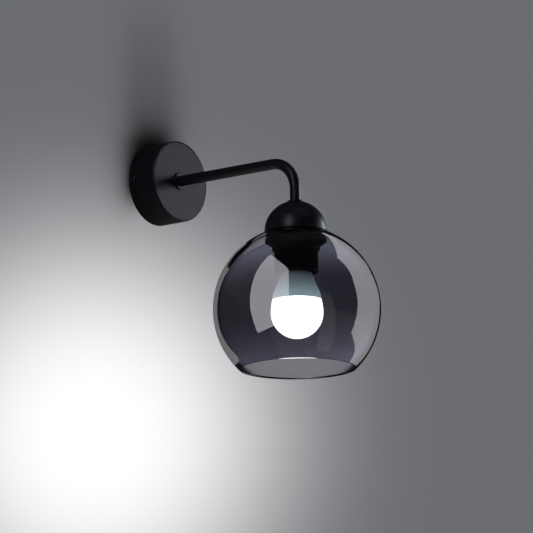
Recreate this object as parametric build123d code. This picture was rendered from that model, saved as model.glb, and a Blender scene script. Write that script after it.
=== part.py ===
from build123d import *
import math
import os

# Globe wall sconce, in millimetres. The wall is the plane y = 0 and the lamp stands out
# along -Y, with +Z up. The origin is the centre of the wall bracket's back.

# ---------------------------------------------------------------- driving dimensions
# Wall bracket: a steel strap with bent end tabs
bracket_width = 18.0
bracket_thickness = 1.5
tab_height = 10.0
tab_inner_bend = 0.5
tab_corner_radius = 3.0
slot_length = 10.0
slot_width = 4.5
slot_end_margin = 6.3
earth_screw_x = 10.5
earth_screw_diameter = 4.0
earth_screw_head_diameter = 7.0
earth_screw_head_height = 2.4
earth_washer_diameter = 8.6
earth_washer_thickness = 0.8
earth_screw_wall_gap = 0.2

# Canopy: a pressed drum, open at the wall
canopy_diameter = 73.0
canopy_depth = 29.0
canopy_wall = 1.2
canopy_edge_radius = 1.0
groove_width = 0.8
groove_depth = 0.4
boss_diameter = 6.6
boss_length = 1.5
tab_clearance = 3.0
side_screw_diameter = 4.0
side_screw_height = 5.5
side_screw_head_diameter = 5.8
side_screw_head_height = 1.7
recess_width = 0.8
recess_depth = 0.8

# Arm: one bent tube, with a reduced thread at both ends
arm_reach = 165.0
bend_radius = 26.0
drop_straight = 11.0
tube_diameter = 9.5
tube_bore = 6.0
thread_diameter = 8.0
collar_diameter = 16.0
collar_thickness = 1.3
washer_chamfer = 0.3
tooth_washer_diameter = 14.0
tooth_washer_thickness = 0.8
tooth_count = 12
tooth_slot_width = 1.2
tooth_slot_depth = 1.4
lug_diameter = 12.0
lug_thickness = 0.6
lug_tail_width = 4.0
lug_tail_reach = 12.0
lug_wire_reach = 10.5
nut_across_flats = 12.0
canopy_nut_thickness = 4.0
thread_past_nut = 1.4

# Connector and inner leads
pole_count = 3
pole_spacing = 9.0
block_width = 27.0
block_depth = 13.0
block_height = 12.0
block_edge_radius = 0.8
block_clearance = 1.0
clamp_diameter = 5.6
clamp_bore = 3.0
clamp_end_gap = 1.5
terminal_screw_diameter = 2.6
terminal_screw_offset = 2.6
terminal_screw_recess = 0.8
wire_diameter = 2.0
wire_spacing = 2.6
wire_bend_radius = 3.5
wire_loop_depth = 9.0
wire_loop_drop = 4.5
wire_end_depth = 4.5
wire_fan_start = 2.2
wire_fan_end = 3.6

# Dome cap under the arm
dome_wall = 1.2
dome_clearance = 2.8
dome_flat_diameter = 15.0
dome_washer_diameter = 14.5
dome_washer_thickness = 1.2
dome_nut_thickness = 3.0
thread_past_dome_nut = 5.0

# Lampholder for a 27 mm Edison screw
cap_crest_diameter = 26.0
cap_root_diameter = 24.4
cap_thread_pitch = 3.629
cap_thread_length = 18.5
cap_rim_height = 1.6
cap_wall = 0.5
cap_cone_height = 2.6
cap_eye_diameter = 14.0
shell_clearance = 0.3
shell_wall = 0.4
shell_length = 25.0
shell_eye_diameter = 17.0
skirt_gap = 1.7
skirt_step = 1.6
skirt_wall = 2.8
skirt_length = 39.3
skirt_lip_radius = 1.2
skirt_mouth_wall = 2.4
skirt_mouth_depth = 5.0
skirt_thread_pitch = 2.5
skirt_thread_depth = 0.9
skirt_thread_start = 7.5
skirt_thread_end_gap = 2.5
spigot_clearance = 0.1
spigot_wall = 1.9
spigot_length = 6.3
holder_shoulder_height = 2.7
holder_body_radius = 21.0
holder_body_height = 6.5
holder_cone_height = 7.0
holder_top_radius = 13.0
holder_roof = 2.5
holder_neck_diameter = 13.0
insert_flange_height = 2.5
insert_height = 10.5
post_size_x = 6.0
post_size_y = 7.0
post_size_z = 5.0
post_offset = 8.5
post_screw_diameter = 2.4
post_screw_head_diameter = 4.0
post_screw_head_height = 1.2
rivet_diameter = 2.2
live_rivet_offset = 6.6
neutral_rivet_offset = 10.4
contact_width = 4.6
contact_thickness = 0.5
contact_root = 3.0
contact_drop = 3.5
contact_land = 5.0

# Glass globe and the ring that clamps it
globe_diameter = 150.0
glass_thickness = 2.2
mouth_diameter = 104.4
mouth_rim_radius = 0.8
hole_clearance = 1.2
seat_gap = 0.3
seat_overlap = 3.0
ring_bore_clearance = 0.25
ring_land = 2.2
ring_overhang = 4.6
ring_top_bevel = 5.0
ring_edge_height = 2.2
ring_under_bevel = 4.2
ring_collar_wall = 1.5
ring_collar_height = 4.2
ring_collar_chamfer = 0.8
ring_thread_length = 8.5
ring_relief = 0.5

# Ball bulb
bulb_radius = 23.3
bulb_equator_below_waist = 11.2
bulb_waist_radius = 22.2
bulb_wall = 1.2
housing_height = 24.5
housing_top_radius = 14.0
housing_shoulder_height = 13.8
housing_shoulder_radius = 17.7
housing_bulge = 0.8
housing_spigot_height = 9.0
housing_wall = 1.3
rim_step = 0.3
web_thickness = 1.2
led_board_thickness = 1.5
led_board_margin = 1.0
led_count = 10
led_size = 3.0
led_height = 0.8
led_circle_diameter = 26.0
driver_thickness = 1.2
driver_width = 16.0
driver_height = 27.0
insulator_height = 1.9
insulator_depth = 1.5
button_diameter = 9.2
button_rim_height = 1.0
button_height = 2.2
button_tip_diameter = 4.4

# Clearances
fit = 0.05
screw_fit = 0.05
touch = 0.02

# ---------------------------------------------------------------- worked-out places
canopy_radius = canopy_diameter / 2
canopy_bore_radius = canopy_radius - canopy_wall
canopy_inner_depth = canopy_depth - canopy_wall
tab_face = canopy_bore_radius - tab_clearance
slot_x = tab_face - slot_end_margin - slot_length / 2
thread_radius = thread_diameter / 2
passage_radius = thread_radius + fit

collar_front = canopy_depth + collar_thickness
tooth_washer_back = canopy_inner_depth - tooth_washer_thickness
lug_back = tooth_washer_back - lug_thickness
canopy_nut_back = lug_back - canopy_nut_thickness
tube_back = canopy_nut_back - thread_past_nut

tube_shoulder_z = -(bend_radius + drop_straight)
dome_top_z = tube_shoulder_z - dome_washer_thickness

cap_crest_radius = cap_crest_diameter / 2
cap_root_radius = cap_root_diameter / 2
shell_bore_radius = cap_crest_radius + shell_clearance
shell_radius = shell_bore_radius + shell_wall
skirt_bore_radius = shell_radius + skirt_gap
skirt_socket_radius = skirt_bore_radius + skirt_step
skirt_radius = skirt_socket_radius + skirt_wall
spigot_radius = skirt_socket_radius - spigot_clearance
spigot_bore_radius = spigot_radius - spigot_wall

glass_hole_radius = skirt_radius + hole_clearance
holder_shoulder_radius = glass_hole_radius + seat_overlap
dome_bore_radius = holder_shoulder_radius + dome_clearance
dome_radius = dome_bore_radius + dome_wall
dome_flat_z = math.sqrt(dome_radius**2 - (dome_flat_diameter / 2) ** 2)
dome_base_z = dome_top_z - dome_flat_z

globe_radius = globe_diameter / 2
glass_inner_radius = globe_radius - glass_thickness
dome_seat_rise = math.sqrt(globe_radius**2 - dome_bore_radius**2)
globe_z = dome_base_z - seat_gap - dome_seat_rise
shoulder_z = globe_z + math.sqrt(globe_radius**2 - glass_hole_radius**2) + seat_gap
ring_bore_radius = skirt_radius + ring_bore_clearance
ring_land_radius = glass_hole_radius + ring_land
ring_top_z = globe_z + math.sqrt(glass_inner_radius**2 - ring_land_radius**2) - seat_gap

dome_ceiling_z = dome_top_z - dome_wall
dome_nut_z = dome_ceiling_z - dome_nut_thickness
tube_end_z = dome_nut_z - thread_past_dome_nut
body_top_z = shoulder_z + holder_shoulder_height + holder_body_height
holder_top_z = body_top_z + holder_cone_height
spigot_end_z = shoulder_z - spigot_length
insert_base_z = spigot_end_z - insert_flange_height
insert_top_z = insert_base_z + insert_height
skirt_end_z = shoulder_z - skirt_length
contact_z = insert_base_z - contact_thickness - contact_drop
post_top_z = insert_top_z + post_size_z
post_screw_z = insert_top_z + post_size_z / 2

button_top_z = contact_z
button_base_z = button_top_z - button_height
insulator_base_z = button_base_z - insulator_height
cap_cone_z = insulator_base_z - cap_cone_height
cap_thread_z = cap_cone_z - cap_thread_length
waist_top_z = cap_thread_z - cap_rim_height
waist_z = waist_top_z - housing_height
equator_z = waist_z - bulb_equator_below_waist


# ---------------------------------------------------------------- helpers
def at(radius, height):
    """A point of an outline that is turned about a vertical axis."""
    return (radius, 0, height)


def face_within(*paths):
    """The face inside paths that follow one another."""
    return make_face([edge for path in paths for edge in path.edges()])


def line_of(points):
    return Polyline([at(radius, height) for radius, height in points])


def latitude(radius, rise):
    """The angle above the middle of a ball at which its surface has risen this far."""
    return math.degrees(math.asin(rise / radius))


def ball_arc(radius, centre_z, start_angle, end_angle):
    """The part between two latitudes of a circle whose centre is on the axis."""
    angles = [math.radians(a) for a in (start_angle, (start_angle + end_angle) / 2, end_angle)]
    points = [at(radius * math.cos(a), centre_z + radius * math.sin(a)) for a in angles]
    return ThreePointArc(*points)


def bowed_arc(start, end, bulge):
    """An arc between two (radius, z) points that bows away from the axis."""
    run = end[0] - start[0]
    drop = end[1] - start[1]
    length = math.hypot(run, drop)
    middle_radius = (start[0] + end[0]) / 2 + bulge * abs(drop) / length
    middle_z = (start[1] + end[1]) / 2 + bulge * run / length
    return ThreePointArc(at(*start), at(middle_radius, middle_z), at(*end))


def on_lamp(shape):
    """Moves a shape made about the Z axis onto the lamp's axis."""
    return Pos(0, -arm_reach, 0) * shape


def turned(*paths):
    """A turned piece on the lamp's axis, from paths that close round its section."""
    return on_lamp(revolve(face_within(*paths), Axis.Z))


def turned_points(points):
    return turned(line_of(points + points[:1]))


def along_y(shape, x, depth, z):
    """Turns a shape made along +Z so that it points from the wall into the room."""
    return Pos(x, -depth, z) * Rot(90, 0, 0) * shape


def hex_prism(across_flats, thickness):
    """A hexagonal nut blank that stands on z = 0, with a bore for the thread."""
    blank = extrude(RegularPolygon(across_flats / 2, 6, major_radius=False), thickness)
    return blank - Cylinder(passage_radius, 3 * thickness)


def rod(path, radius):
    """A round bar or hole along a path."""
    return sweep(Plane(path @ 0, z_dir=path % 0) * Circle(radius), path=path)


def cross_recess(head_diameter):
    """The two crossed bars that a screwdriver fits, with their top at z = 0."""
    length = 0.7 * head_diameter
    bar = Pos(0, 0, -recess_depth / 2) * Box(length, recess_width, recess_depth)
    return bar + Rot(0, 0, 90) * bar


def screw(diameter, length, head_diameter, head_height):
    """A round-head screw with its head on z = 0 and its shank along -Z."""
    shank = Pos(0, 0, -length / 2) * Cylinder(diameter / 2, length)
    head = Pos(0, 0, head_height / 2) * Cylinder(head_diameter / 2, head_height)
    head = fillet(head.edges().group_by(Axis.Z)[-1], head_height / 2)
    return shank + head - Pos(0, 0, head_height) * cross_recess(head_diameter)


def washer(diameter, bore_radius, thickness):
    ring = Cylinder(diameter / 2, thickness) - Cylinder(bore_radius, 3 * thickness)
    rims = ring.edges().filter_by(GeomType.CIRCLE).group_by(SortBy.RADIUS)[-1]
    return Pos(0, 0, thickness / 2) * chamfer(rims, washer_chamfer)


# ---------------------------------------------------------------- wall bracket
def make_wall_bracket():
    strip = Pos(0, -bracket_thickness / 2, 0) * Box(2 * tab_face, bracket_thickness, bracket_width)
    tab_x = tab_face - bracket_thickness / 2
    for side in (-1, 1):
        strip += Pos(side * tab_x, -tab_height / 2, 0) * Box(bracket_thickness, tab_height, bracket_width)
    bends = strip.edges().filter_by(Axis.Z)
    outside = bends.filter_by_position(Axis.Y, -touch, touch)
    strip = fillet(outside, tab_inner_bend + bracket_thickness)
    inside = strip.edges().filter_by(Axis.Z).filter_by_position(
        Axis.Y, -bracket_thickness - touch, -bracket_thickness + touch)
    strip = fillet(inside, tab_inner_bend)
    corners = strip.edges().filter_by(Axis.X).filter_by_position(
        Axis.Y, -tab_height - touch, -tab_height + touch)
    strip = fillet(corners, tab_corner_radius)
    slot = extrude(SlotOverall(slot_length, slot_width), bracket_thickness, both=True)
    for side in (-1, 1):
        strip -= along_y(slot, side * slot_x, 0, 0)
    tapped = Cylinder(earth_screw_diameter / 2 + screw_fit, 3 * bracket_thickness)
    return strip - along_y(tapped, earth_screw_x, 0, 0)


def make_bracket_earth_washer():
    ring = washer(earth_washer_diameter, earth_screw_diameter / 2 + screw_fit, earth_washer_thickness)
    return along_y(ring, earth_screw_x, bracket_thickness, 0)


def make_bracket_earth_screw():
    seat = bracket_thickness + earth_washer_thickness
    whole = screw(earth_screw_diameter, seat - earth_screw_wall_gap,
                  earth_screw_head_diameter, earth_screw_head_height)
    return along_y(whole, earth_screw_x, seat, 0)


# ---------------------------------------------------------------- canopy
def at_side(shape, side):
    """Turns a shape made along +Z so that it points out of the canopy's side."""
    return Pos(side * canopy_radius, -side_screw_height, 0) * Rot(0, side * 90, 0) * shape


def make_canopy_cover():
    rim = canopy_radius
    edge = canopy_edge_radius
    bore = canopy_bore_radius
    groove_outer = rim - edge
    groove_inner = groove_outer - groove_width
    corner = (rim - edge * (1 - math.sqrt(0.5)), -(canopy_depth - edge * (1 - math.sqrt(0.5))), 0)
    side_path = Polyline([(bore, 0, 0), (rim, 0, 0), (rim, -(canopy_depth - edge), 0)])
    round_path = ThreePointArc((rim, -(canopy_depth - edge), 0), corner, (groove_outer, -canopy_depth, 0))
    face_path = Polyline([
        (groove_outer, -canopy_depth, 0),
        (groove_outer, -(canopy_depth - groove_depth), 0),
        (groove_inner, -(canopy_depth - groove_depth), 0),
        (groove_inner, -canopy_depth, 0),
        (passage_radius, -canopy_depth, 0),
        (passage_radius, -canopy_inner_depth, 0),
        (bore, -canopy_inner_depth, 0),
        (bore, 0, 0),
    ])
    drum = revolve(face_within(side_path, round_path, face_path), Axis.Y)
    for side in (-1, 1):
        boss_depth = canopy_wall + boss_length
        boss_start = canopy_wall / 2
        boss = Cylinder(boss_diameter / 2, boss_depth - boss_start)
        boss = Pos(0, 0, -(boss_start + boss_depth) / 2) * boss
        drum += at_side(boss, side)
        drum -= at_side(Cylinder(side_screw_diameter / 2 + screw_fit, 4 * boss_depth), side)
    return drum


def make_side_screws():
    length = canopy_radius - tab_face
    whole = screw(side_screw_diameter, length, side_screw_head_diameter, side_screw_head_height)
    return at_side(whole, -1) + at_side(whole, 1)


# ---------------------------------------------------------------- arm
def arm_path(x, depth, end_z, corner_radius):
    """The arm's centre line: out from the wall, round the bend and down."""
    points = [(x, -depth, 0), (x, -arm_reach, 0), (x, -arm_reach, end_z)]
    return FilletPolyline(points, radius=corner_radius)


def make_arm_tube():
    body = rod(arm_path(0, collar_front, tube_shoulder_z, bend_radius), tube_diameter / 2)
    body += rod(Line((0, -collar_front, 0), (0, -tube_back, 0)), thread_radius)
    body += rod(Line((0, -arm_reach, tube_shoulder_z), (0, -arm_reach, tube_end_z)), thread_radius)
    return body - rod(arm_path(0, tube_back, tube_end_z, bend_radius), tube_bore / 2)


def make_arm_collar():
    return along_y(washer(collar_diameter, passage_radius, collar_thickness), 0, canopy_depth, 0)


def make_arm_tooth_washer():
    ring = washer(tooth_washer_diameter, passage_radius, tooth_washer_thickness)
    reach = tooth_washer_diameter / 2
    slot = Pos(reach, 0, 0) * Box(2 * tooth_slot_depth, tooth_slot_width, 4 * tooth_washer_thickness)
    for turn in range(tooth_count):
        ring -= Rot(0, 0, 360 / tooth_count * turn) * slot
    return along_y(ring, 0, tooth_washer_back, 0)


def make_earth_lug():
    eye = Cylinder(lug_diameter / 2, lug_thickness)
    tail = Pos(0, -lug_tail_reach / 2, 0) * Box(lug_tail_width, lug_tail_reach, lug_thickness)
    plate = Pos(0, 0, lug_thickness / 2) * (eye + tail - Cylinder(passage_radius, 3 * lug_thickness))
    return along_y(Rot(0, 0, 90) * plate, 0, lug_back, 0)


def make_arm_lock_nut():
    return along_y(hex_prism(nut_across_flats, canopy_nut_thickness), 0, canopy_nut_back, 0)


# ---------------------------------------------------------------- connector and leads
block_top_z = -(tooth_washer_diameter / 2 + block_clearance)
block_middle_z = block_top_z - block_height / 2
block_bottom_z = block_top_z - block_height
block_back = canopy_inner_depth - block_depth
clamp_depth = canopy_inner_depth - block_depth / 2
wire_low_z = block_bottom_z - wire_loop_drop
wire_radius = wire_diameter / 2
pole_places = [(pole - (pole_count - 1) / 2) * pole_spacing for pole in range(pole_count)]
live_pole_x, neutral_pole_x, earth_pole_x = pole_places
terminal_screw_places = [
    (x, block_middle_z + side * terminal_screw_offset) for x in pole_places for side in (-1, 1)
]


def make_terminal_block():
    block = Box(block_width, block_depth, block_height)
    block = fillet(block.edges().filter_by(Axis.Z), block_edge_radius)
    block = Pos(0, -clamp_depth, block_middle_z) * block
    for x in pole_places:
        bore = Cylinder(clamp_diameter / 2 + fit, 2 * block_height)
        block -= Pos(x, -clamp_depth, block_middle_z) * bore
    for x, z in terminal_screw_places:
        way_in = Cylinder(terminal_screw_diameter / 2 + screw_fit, block_depth)
        block -= along_y(way_in, x, block_back, z)
    return block


def make_terminal_clamps():
    length = block_height - 2 * clamp_end_gap
    clamps = []
    for x in pole_places:
        clamp = Cylinder(clamp_diameter / 2, length) - Cylinder(clamp_bore / 2, 2 * length)
        clamp = Pos(x, -clamp_depth, block_middle_z) * clamp
        for z in (block_middle_z - terminal_screw_offset, block_middle_z + terminal_screw_offset):
            tapped = Cylinder(terminal_screw_diameter / 2 + screw_fit, clamp_diameter)
            clamp -= along_y(tapped, x, clamp_depth - clamp_diameter / 2, z)
        clamps.append(clamp)
    return clamps


def make_terminal_screws():
    top = block_back + terminal_screw_recess
    length = clamp_depth - wire_radius - touch - top
    screws = []
    for x, z in terminal_screw_places:
        grub = Pos(0, 0, length / 2) * Cylinder(terminal_screw_diameter / 2, length)
        grub -= Pos(0, 0, recess_depth / 2) * Box(2 * terminal_screw_diameter, recess_width, recess_depth)
        screws.append(along_y(grub, x, top, z))
    return screws


def joined(*paths):
    return Wire([edge for path in paths for edge in path.edges()])


def loop_to_pole(start, pole_x):
    """From a point inside the canopy, back towards the wall, down, and up into a clamp."""
    x, y, z = start
    points = [
        start,
        (x, -wire_loop_depth, z),
        (pole_x, -wire_loop_depth, wire_low_z),
        (pole_x, -clamp_depth, wire_low_z),
        (pole_x, -clamp_depth, block_middle_z - wire_radius),
    ]
    return FilletPolyline(points, radius=wire_bend_radius)


def supply_lead(side, pole_x):
    """A lead from its clamp, through the arm, to its terminal in the lampholder."""
    x = side * wire_spacing / 2
    loop = loop_to_pole((x, -tube_back, 0), pole_x)
    middle = arm_path(x, tube_back, tube_end_z, bend_radius)
    fan_top_z = tube_end_z - wire_fan_start
    post_x = side * post_offset
    fan = FilletPolyline([
        (x, -arm_reach, tube_end_z),
        (x, -arm_reach, fan_top_z),
        (post_x, -arm_reach, fan_top_z - wire_fan_end),
        (post_x, -arm_reach, post_top_z - wire_end_depth),
    ], radius=wire_bend_radius)
    path = joined(loop, middle, fan)
    return sweep(Plane(fan @ 1, z_dir=fan % 1) * Circle(wire_radius), path=path)


def make_live_wire():
    return supply_lead(-1, live_pole_x)


def make_neutral_wire():
    return supply_lead(1, neutral_pole_x)


def make_earth_wire():
    path = loop_to_pole((lug_wire_reach, -lug_back, 0), earth_pole_x)
    return rod(path, wire_radius)


# ---------------------------------------------------------------- dome cap
def make_dome_washer():
    ring = washer(dome_washer_diameter, passage_radius, dome_washer_thickness)
    return on_lamp(Pos(0, 0, dome_top_z) * ring)


def make_dome_cap():
    outer = ball_arc(dome_radius, dome_base_z, latitude(dome_radius, dome_top_z - dome_base_z), 0)
    ceiling_angle = latitude(dome_bore_radius, dome_ceiling_z - dome_base_z)
    inner = ball_arc(dome_bore_radius, dome_base_z, 0, ceiling_angle)
    rim = Line(outer @ 1, inner @ 0)
    ceiling_radius = math.sqrt(dome_bore_radius**2 - (dome_ceiling_z - dome_base_z) ** 2)
    top = line_of([
        (ceiling_radius, dome_ceiling_z),
        (passage_radius, dome_ceiling_z),
        (passage_radius, dome_top_z),
        (dome_flat_diameter / 2, dome_top_z),
    ])
    return turned(outer, rim, inner, top)


def make_dome_nut():
    return on_lamp(Pos(0, 0, dome_nut_z) * hex_prism(nut_across_flats, dome_nut_thickness))


# ---------------------------------------------------------------- lampholder
def ridges(crest_radius, root_radius, top_z, bottom_z, pitch):
    """Thread crests as rings, as (radius, z) points from the top down."""
    count = int((top_z - bottom_z) / pitch)
    first_z = (top_z + bottom_z + count * pitch) / 2
    flank = (crest_radius - root_radius) * math.tan(math.radians(30))
    land = (pitch - 2 * flank) / 2
    points = []
    for turn in range(count):
        z = first_z - turn * pitch
        points.append((root_radius, z - land / 2))
        points.append((crest_radius, z - land / 2 - flank))
        points.append((crest_radius, z - 3 * land / 2 - flank))
        points.append((root_radius, z - 3 * land / 2 - 2 * flank))
    return points


def make_holder_cap():
    shoulder_top_z = shoulder_z + holder_shoulder_height
    neck_radius = holder_neck_diameter / 2
    roof_z = holder_top_z - holder_roof
    return turned_points([
        (spigot_radius, spigot_end_z),
        (spigot_radius, shoulder_z),
        (holder_shoulder_radius, shoulder_z),
        (holder_shoulder_radius, shoulder_top_z),
        (holder_body_radius, shoulder_top_z),
        (holder_body_radius, body_top_z),
        (holder_top_radius, holder_top_z),
        (neck_radius, holder_top_z),
        (neck_radius, dome_nut_z),
        (passage_radius, dome_nut_z),
        (passage_radius, roof_z),
        (holder_top_radius - holder_roof, roof_z),
        (spigot_bore_radius, body_top_z - holder_roof),
        (spigot_bore_radius, spigot_end_z),
    ])


def make_holder_insert():
    flange_radius = skirt_socket_radius - fit
    body_radius = spigot_bore_radius - fit
    flange_top_z = insert_base_z + insert_flange_height
    body = turned_points([
        (0, insert_base_z),
        (flange_radius, insert_base_z),
        (flange_radius, flange_top_z),
        (body_radius, flange_top_z),
        (body_radius, insert_top_z),
        (0, insert_top_z),
    ])
    for x in (-live_rivet_offset, neutral_rivet_offset):
        hole = Cylinder(rivet_diameter / 2 + fit, 4 * insert_height)
        body -= on_lamp(Pos(x, 0, insert_base_z) * hole)
    return body


def terminal_post(side, rivet_offset, rivet_end_z):
    """A brass post on the insert, with its rivet through to the underside."""
    post = Pos(side * post_offset, 0, (insert_top_z + post_top_z) / 2)
    post = post * Box(post_size_x, post_size_y, post_size_z)
    length = insert_top_z - rivet_end_z
    rivet = Cylinder(rivet_diameter / 2, length)
    post += Pos(side * rivet_offset, 0, (insert_top_z + rivet_end_z) / 2) * rivet
    wire_hole = Cylinder(wire_radius + fit, 2 * (wire_end_depth + touch))
    post -= Pos(side * post_offset, 0, post_top_z) * wire_hole
    tapped = Cylinder(post_screw_diameter / 2 + screw_fit, post_size_x / 2)
    screw_x = post_offset + post_size_x / 4
    post -= Pos(side * screw_x, 0, post_screw_z) * Rot(0, 90, 0) * tapped
    return on_lamp(post)


def make_holder_terminals():
    live = terminal_post(-1, live_rivet_offset, insert_base_z - contact_thickness)
    neutral = terminal_post(1, neutral_rivet_offset, insert_base_z - shell_wall)
    return [live, neutral]


def make_holder_terminal_screws():
    length = post_size_x / 2 - wire_radius - touch
    screws = []
    for side in (-1, 1):
        whole = screw(post_screw_diameter, length, post_screw_head_diameter, post_screw_head_height)
        place = Pos(side * (post_offset + post_size_x / 2), 0, post_screw_z) * Rot(0, side * 90, 0)
        screws.append(on_lamp(place * whole))
    return screws


def make_centre_contact():
    top_z = insert_base_z
    root_start = -(live_rivet_offset + contact_root / 2)
    root_end = root_start + contact_root
    land = contact_land / 2
    under = contact_thickness
    side_view = Polyline([
        (root_start, 0, top_z),
        (root_end, 0, top_z),
        (-land, 0, contact_z + under),
        (land, 0, contact_z + under),
        (land, 0, contact_z),
        (-land - under / 2, 0, contact_z),
        (root_end - under / 2, 0, top_z - under),
        (root_start, 0, top_z - under),
    ], close=True)
    strip = extrude(make_face(side_view), contact_width / 2, both=True)
    hole = Cylinder(rivet_diameter / 2 + fit, 4 * contact_thickness)
    return on_lamp(strip - Pos(-live_rivet_offset, 0, top_z) * hole)


def make_holder_shell():
    bottom_z = insert_base_z - shell_length
    shell = turned_points([
        (shell_eye_diameter / 2, insert_base_z),
        (shell_radius, insert_base_z),
        (shell_radius, bottom_z),
        (shell_bore_radius, bottom_z),
        (shell_bore_radius, insert_base_z - shell_wall),
        (shell_eye_diameter / 2, insert_base_z - shell_wall),
    ])
    hole = Cylinder(rivet_diameter / 2 + fit, 4 * shell_wall)
    return shell - on_lamp(Pos(neutral_rivet_offset, 0, insert_base_z) * hole)


def make_holder_skirt():
    root_radius = skirt_radius - skirt_thread_depth
    mouth_radius = skirt_radius - skirt_mouth_wall
    mouth_top_z = skirt_end_z + skirt_mouth_depth
    lip = skirt_lip_radius
    thread_top_z = shoulder_z - skirt_thread_start
    thread_end_z = skirt_end_z + skirt_thread_end_gap
    outside = line_of([
        (skirt_socket_radius, shoulder_z),
        (skirt_radius, shoulder_z),
        (skirt_radius, thread_top_z),
        *ridges(skirt_radius, root_radius, thread_top_z, thread_end_z, skirt_thread_pitch),
        (skirt_radius, thread_end_z),
        (skirt_radius, skirt_end_z + lip),
    ])
    side = math.sqrt(0.5)
    middle = at(skirt_radius - lip * (1 - side), skirt_end_z + lip * (1 - side))
    rounded = ThreePointArc(outside @ 1, middle, at(skirt_radius - lip, skirt_end_z))
    inside = line_of([
        (skirt_radius - lip, skirt_end_z),
        (mouth_radius, skirt_end_z),
        (mouth_radius, mouth_top_z),
        (skirt_bore_radius, mouth_top_z),
        (skirt_bore_radius, insert_base_z),
        (skirt_socket_radius, insert_base_z),
        (skirt_socket_radius, shoulder_z),
    ])
    return turned(outside, rounded, inside)


# ---------------------------------------------------------------- shade
def make_shade_ring():
    edge_radius = ring_land_radius + ring_overhang
    collar_radius = ring_bore_radius + ring_collar_wall
    edge_top_z = ring_top_z - ring_top_bevel
    edge_bottom_z = edge_top_z - ring_edge_height
    collar_top_z = edge_bottom_z - ring_under_bevel
    collar_bottom_z = collar_top_z - ring_collar_height
    thread_top_z = collar_bottom_z + ring_thread_length
    return turned_points([
        (ring_bore_radius + ring_relief, ring_top_z),
        (ring_land_radius, ring_top_z),
        (edge_radius, edge_top_z),
        (edge_radius, edge_bottom_z),
        (collar_radius, collar_top_z),
        (collar_radius, collar_bottom_z + ring_collar_chamfer),
        (collar_radius - ring_collar_chamfer, collar_bottom_z),
        (ring_bore_radius, collar_bottom_z),
        (ring_bore_radius, thread_top_z),
        (ring_bore_radius + ring_relief, thread_top_z),
    ])


def make_glass_shade():
    mouth_drop = math.sqrt(globe_radius**2 - (mouth_diameter / 2) ** 2)
    outer_top = math.degrees(math.acos(glass_hole_radius / globe_radius))
    inner_top = math.degrees(math.acos(glass_hole_radius / glass_inner_radius))
    outer = ball_arc(globe_radius, globe_z, outer_top, latitude(globe_radius, -mouth_drop))
    inner = ball_arc(glass_inner_radius, globe_z, latitude(glass_inner_radius, -mouth_drop), inner_top)
    rim = Line(outer @ 1, inner @ 0)
    hole = Line(inner @ 1, outer @ 0)
    shade = revolve(face_within(outer, rim, inner, hole), Axis.Z)
    rim_edges = shade.edges().filter_by(GeomType.CIRCLE).group_by(Axis.Z)[0]
    return on_lamp(fillet(rim_edges, mouth_rim_radius))


# ---------------------------------------------------------------- bulb
def make_bulb_contact():
    return turned_points([
        (0, button_base_z),
        (button_diameter / 2, button_base_z),
        (button_diameter / 2, button_base_z + button_rim_height),
        (button_tip_diameter / 2, button_top_z),
        (0, button_top_z),
    ])


def make_bulb_insulator():
    eye_radius = cap_eye_diameter / 2 - fit
    return turned_points([
        (0, insulator_base_z - insulator_depth),
        (eye_radius - insulator_depth, insulator_base_z - insulator_depth),
        (eye_radius, insulator_base_z),
        (button_diameter / 2, button_base_z),
        (0, button_base_z),
    ])


def make_bulb_cap():
    inner_radius = cap_root_radius - cap_wall
    eye_radius = cap_eye_diameter / 2
    cone_inner_z = cap_cone_z - cap_wall / 2
    outside = [
        (cap_crest_radius, waist_top_z),
        (cap_crest_radius, cap_thread_z),
        (cap_root_radius, cap_thread_z),
        *reversed(ridges(cap_crest_radius, cap_root_radius, cap_cone_z, cap_thread_z, cap_thread_pitch)),
        (cap_root_radius, cap_cone_z),
        (eye_radius, insulator_base_z),
    ]
    inside = [
        (eye_radius, insulator_base_z - cap_wall),
        (inner_radius, cone_inner_z - cap_wall / 2),
        (inner_radius, waist_top_z),
    ]
    return turned_points(outside + inside)


def make_bulb_housing():
    shoulder = (housing_shoulder_radius, waist_z + housing_shoulder_height)
    waist = (bulb_waist_radius, waist_z)
    spigot = cap_root_radius - cap_wall - fit
    spigot_top_z = waist_top_z + housing_spigot_height
    board_z = waist_z + led_board_thickness
    web_top_z = board_z + web_thickness
    inner_waist = (bulb_waist_radius - housing_wall, web_top_z)
    inner_shoulder = (housing_shoulder_radius - housing_wall, shoulder[1])
    board_radius = bulb_waist_radius - housing_wall
    return turned(
        line_of([
            (spigot - housing_wall, spigot_top_z),
            (spigot, spigot_top_z),
            (spigot, waist_top_z),
            (housing_top_radius, waist_top_z),
            shoulder,
        ]),
        bowed_arc(shoulder, waist, housing_bulge),
        line_of([
            waist,
            (board_radius, waist_z),
            (board_radius, board_z),
            (0, board_z),
            (0, web_top_z),
            inner_waist,
        ]),
        bowed_arc(inner_waist, inner_shoulder, housing_bulge / 2),
        line_of([
            inner_shoulder,
            (spigot - housing_wall, waist_top_z - housing_wall),
            (spigot - housing_wall, spigot_top_z),
        ]),
    )


def make_led_board():
    radius = bulb_waist_radius - housing_wall - led_board_margin
    board = Cylinder(radius, led_board_thickness)
    return on_lamp(Pos(0, 0, waist_z + led_board_thickness / 2) * board)


def make_led_chips():
    chips = []
    for turn in range(led_count):
        chip = Pos(led_circle_diameter / 2, 0, -led_height / 2) * Box(led_size, led_size, led_height)
        chips.append(on_lamp(Pos(0, 0, waist_z) * Rot(0, 0, 360 / led_count * turn) * chip))
    return chips


def make_driver_board():
    bottom_z = waist_z + led_board_thickness + web_thickness
    board = Box(driver_width, driver_thickness, driver_height)
    return on_lamp(Pos(0, 0, bottom_z + driver_height / 2) * board)


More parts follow.
